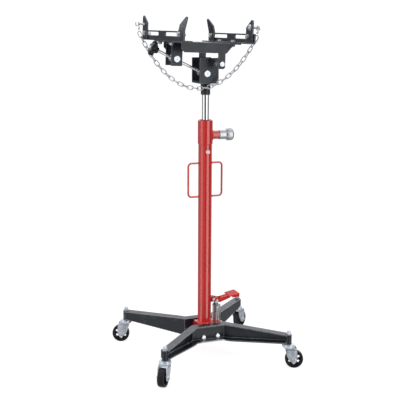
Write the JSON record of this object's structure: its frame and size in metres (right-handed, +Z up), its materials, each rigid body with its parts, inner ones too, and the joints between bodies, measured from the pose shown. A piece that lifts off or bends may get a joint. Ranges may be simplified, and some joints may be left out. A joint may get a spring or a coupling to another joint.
{
  "type": "transmission jack",
  "caption": "Castered telescopic hydraulic jack: folded four-leg base, foot-pumped red column, chromed ram and a tilting saddle with sliding corner fingers and a safety chain.",
  "frame": {"origin": "on the floor under the axis of the ram, with the casters standing on the floor", "axes": "+Z up along the ram, +X along the saddle beam towards the pedal and the release valve, -Y the front"},
  "size_m": [0.6644, 0.6448, 1.4418],
  "materials": {
    "black_powder_coat": "semi-gloss black powder coat with fine orange peel, worn bright at sheet edges",
    "red_powder_coat": "glossy red powder coat",
    "zinc_plate": "bright bluish zinc plating, satin",
    "galvanised_chain": "zinc plated chain wire, slightly dull",
    "hard_chrome": "ground and polished hard chrome",
    "machined_steel": "turned steel with fine concentric tool marks",
    "seal_rubber": "matte black nitrile rubber",
    "bronze_washer": "plain bronze thrust washer",
    "white_plug": "off-white nylon plug",
    "black_plastic": "moulded black plastic, fine matte grain"
  },
  "bodies": {
    "base": {"base_front_half": "black_powder_coat", "base_rear_half": "black_powder_coat", "caster_sockets": "black_powder_coat", "base_bolts": "zinc_plate", "power_block": "red_powder_coat", "reservoir_tube": "red_powder_coat", "top_collar": "red_powder_coat", "pressure_cylinder": "machined_steel", "ram_gland": "machined_steel", "ram_wiper": "seal_rubber", "filler_plug": "white_plug", "carry_handle_left": "red_powder_coat", "carry_handle_right": "red_powder_coat", "pump_body": "machined_steel", "pedal_bracket": "black_powder_coat", "fulcrum_pin": "zinc_plate", "return_spring": "machined_steel", "stop_rod": "zinc_plate", "caster_stems": "zinc_plate", "acorn_nuts": "zinc_plate"},
    "ram": {"ram_rod": "hard_chrome", "ram_piston": "machined_steel", "piston_seal": "seal_rubber", "thrust_washer": "bronze_washer"},
    "saddle_swivel": {"saddle_bracket": "black_powder_coat"},
    "saddle_beam": {"tilt_beam": "black_powder_coat", "pivot_pin": "zinc_plate", "pivot_nuts": "zinc_plate", "screw_bracket": "black_powder_coat", "rail_left": "black_powder_coat", "rail_right": "black_powder_coat", "rail_bolts": "zinc_plate", "safety_chain": "galvanised_chain"},
    "upper_trunnion": {"trunnion_upper": "zinc_plate"},
    "screw": {"tilt_screw": "zinc_plate", "tilt_knob": "black_plastic"},
    "lower_trunnion": {"trunnion_lower": "zinc_plate"},
    "finger_rl": {"finger_rear_left": "black_powder_coat", "finger_bolts_rear_left": "zinc_plate", "chain_hook_left": "galvanised_chain"},
    "finger_fl": {"finger_front_left": "black_powder_coat", "finger_bolts_front_left": "zinc_plate"},
    "finger_rr": {"finger_rear_right": "black_powder_coat", "finger_bolts_rear_right": "zinc_plate"},
    "finger_fr": {"finger_front_right": "black_powder_coat", "finger_bolts_front_right": "zinc_plate", "chain_hook_right": "galvanised_chain"},
    "release_valve": {"release_knob": "machined_steel", "release_stem": "zinc_plate"},
    "pedal": {"pedal_lever": "red_powder_coat"},
    "plunger": {"pump_plunger": "hard_chrome", "spring_cap": "zinc_plate"},
    "caster_left": {"caster_fork_left": "zinc_plate"},
    "wheel_left": {"caster_wheel_left": "black_plastic"},
    "caster_front": {"caster_fork_front": "zinc_plate"},
    "wheel_front": {"caster_wheel_front": "black_plastic"},
    "caster_right": {"caster_fork_right": "zinc_plate"},
    "wheel_right": {"caster_wheel_right": "black_plastic"},
    "caster_back": {"caster_fork_back": "zinc_plate"},
    "wheel_back": {"caster_wheel_back": "black_plastic"}
  },
  "joints": [
    {"name": "ram_lift", "type": "slide", "parent": "base", "child": "ram", "axis": [0, 0, 1], "range_m": [-0.1, 0.72]},
    {"name": "saddle_turn", "type": "hinge", "parent": "ram", "child": "saddle_swivel", "pos_m": [0, 0, 1.15], "axis": [0, 0, 1], "continuous": true},
    {"name": "saddle_tilt", "type": "hinge", "parent": "saddle_swivel", "child": "saddle_beam", "pos_m": [0.026, 0, 1.251], "axis": [0, 1, 0], "range_deg": [-7, 8]},
    {"name": "upper_trunnion_turn", "type": "hinge", "parent": "saddle_beam", "child": "upper_trunnion", "pos_m": [-0.138, 0, 1.27], "axis": [0, 1, 0], "range_deg": [-2, 2]},
    {"name": "tilt_knob_turn", "type": "hinge", "parent": "upper_trunnion", "child": "screw", "pos_m": [-0.138, 0, 1.27], "axis": [0.9042, 0, -0.4272], "range_deg": [-780, 890]},
    {"name": "lower_trunnion_turn", "type": "hinge", "parent": "saddle_swivel", "child": "lower_trunnion", "pos_m": [-0.011, 0, 1.21], "axis": [0, 1, 0], "range_deg": [-9, 9.5]},
    {"name": "finger_rear_left_slide", "type": "slide", "parent": "saddle_beam", "child": "finger_rl", "axis": [0, 1, 0], "range_m": [-0.158, 0.012], "deforming": ["safety_chain"]},
    {"name": "finger_front_left_slide", "type": "slide", "parent": "saddle_beam", "child": "finger_fl", "axis": [0, 1, 0], "range_m": [-0.003, 0.168]},
    {"name": "finger_rear_right_slide", "type": "slide", "parent": "saddle_beam", "child": "finger_rr", "axis": [0, 1, 0], "range_m": [-0.156, 0.014]},
    {"name": "finger_front_right_slide", "type": "slide", "parent": "saddle_beam", "child": "finger_fr", "axis": [0, 1, 0], "range_m": [-0.034, 0.134]},
    {"name": "release_valve_turn", "type": "hinge", "parent": "base", "child": "release_valve", "pos_m": [0.06, 0, 0.954], "axis": [1, 0, 0], "range_deg": [0, 270]},
    {"name": "pedal_press", "type": "hinge", "parent": "base", "child": "pedal", "pos_m": [0.0365, 0, 0.246], "axis": [0, 1, 0], "range_deg": [0, 35]},
    {"name": "pump_stroke", "type": "slide", "parent": "base", "child": "plunger", "axis": [0, 0, -1], "range_m": [0, 0.008], "deforming": ["return_spring"]},
    {"name": "caster_left_swivel", "type": "hinge", "parent": "base", "child": "caster_left", "pos_m": [-0.27153, 0.27153, 0.085], "axis": [0, 0, 1], "continuous": true},
    {"name": "wheel_left_spin", "type": "hinge", "parent": "caster_left", "child": "wheel_left", "pos_m": [-0.29362, 0.28091, 0.038], "axis": [-0.3907, -0.9205, 0], "continuous": true},
    {"name": "caster_front_swivel", "type": "hinge", "parent": "base", "child": "caster_front", "pos_m": [-0.27153, -0.27153, 0.085], "axis": [0, 0, 1], "continuous": true},
    {"name": "wheel_front_spin", "type": "hinge", "parent": "caster_front", "child": "wheel_front", "pos_m": [-0.2863, -0.29044, 0.038], "axis": [0.788, -0.6157, 0], "continuous": true},
    {"name": "caster_right_swivel", "type": "hinge", "parent": "base", "child": "caster_right", "pos_m": [0.27153, -0.27153, 0.085], "axis": [0, 0, 1], "continuous": true},
    {"name": "wheel_right_spin", "type": "hinge", "parent": "caster_right", "child": "wheel_right", "pos_m": [0.29362, -0.28091, 0.038], "axis": [0.3907, 0.9205, 0], "continuous": true},
    {"name": "caster_back_swivel", "type": "hinge", "parent": "base", "child": "caster_back", "pos_m": [0.27153, 0.27153, 0.085], "axis": [0, 0, 1], "continuous": true},
    {"name": "wheel_back_spin", "type": "hinge", "parent": "caster_back", "child": "wheel_back", "pos_m": [0.2907, 0.28597, 0.038], "axis": [-0.6018, 0.7986, 0], "continuous": true}
  ],
  "couplings": [
    {"joint": "upper_trunnion_turn", "follows": "saddle_tilt", "ratio": 0.108},
    {"joint": "lower_trunnion_turn", "follows": "saddle_tilt", "ratio": 1.108},
    {"joint": "tilt_knob_turn", "follows": "saddle_tilt", "ratio": 110.9},
    {"joint": "pump_stroke", "follows": "pedal_press", "m_per_rad": 0.0128}
  ]
}
